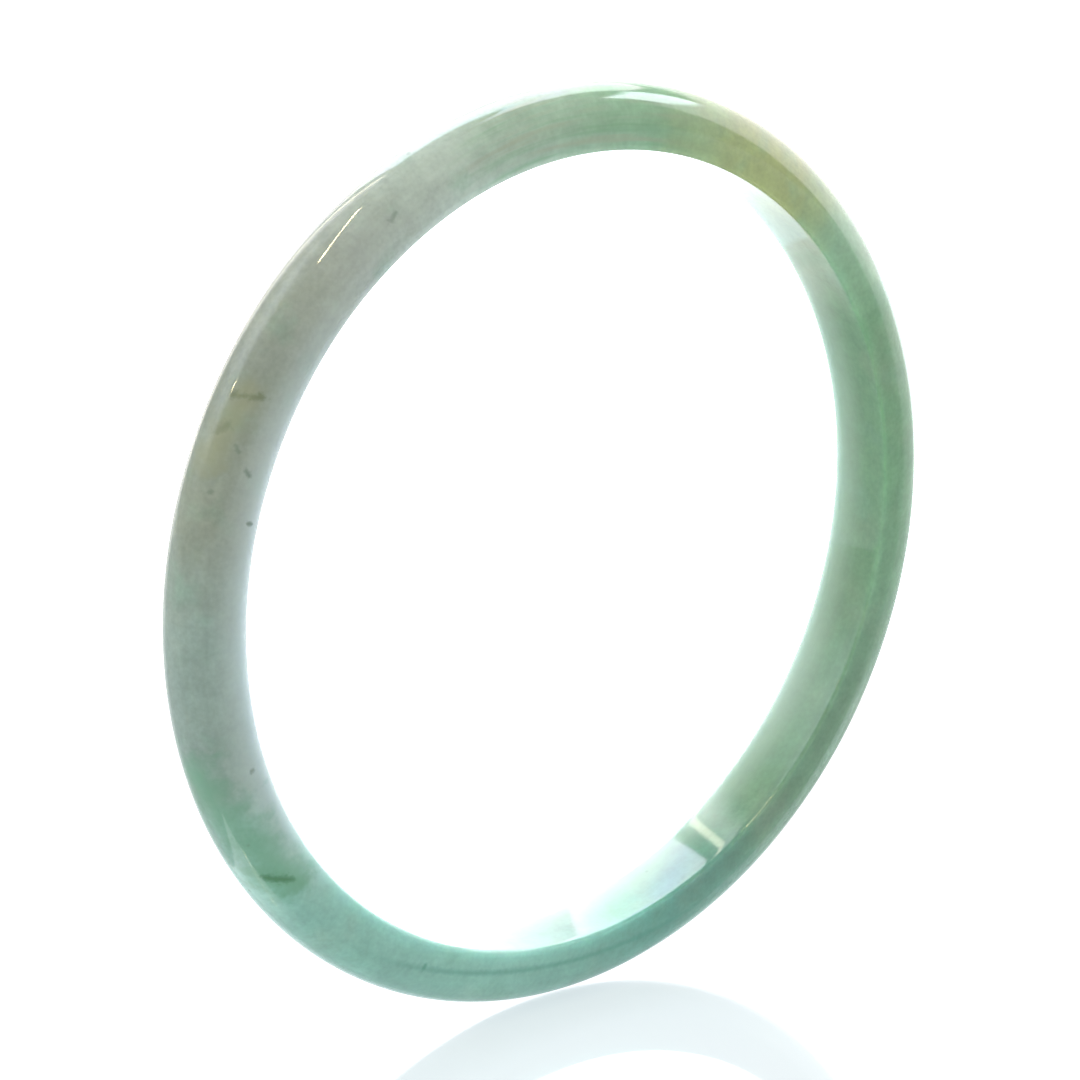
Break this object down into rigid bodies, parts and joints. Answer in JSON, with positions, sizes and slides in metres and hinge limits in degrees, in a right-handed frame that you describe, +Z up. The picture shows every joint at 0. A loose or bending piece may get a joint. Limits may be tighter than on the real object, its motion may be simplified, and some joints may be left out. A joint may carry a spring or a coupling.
{
  "type": "bangle bracelet",
  "caption": "Slim closed bangle bracelet of polished mottled green jadeite, flat inside and domed outside, worn on the wrist.",
  "frame": {"origin": "centre of the bangle, midway between its two side faces", "axes": "+Y along the bangle's axis, the way the wrist passes through; +Z up, with the bangle standing on its rim"},
  "size_m": [0.067, 0.0054, 0.067],
  "materials": {
    "jade": "polished"
  },
  "bodies": {
    "root": {"bangle_ring": "jade"}
  },
  "joints": []
}
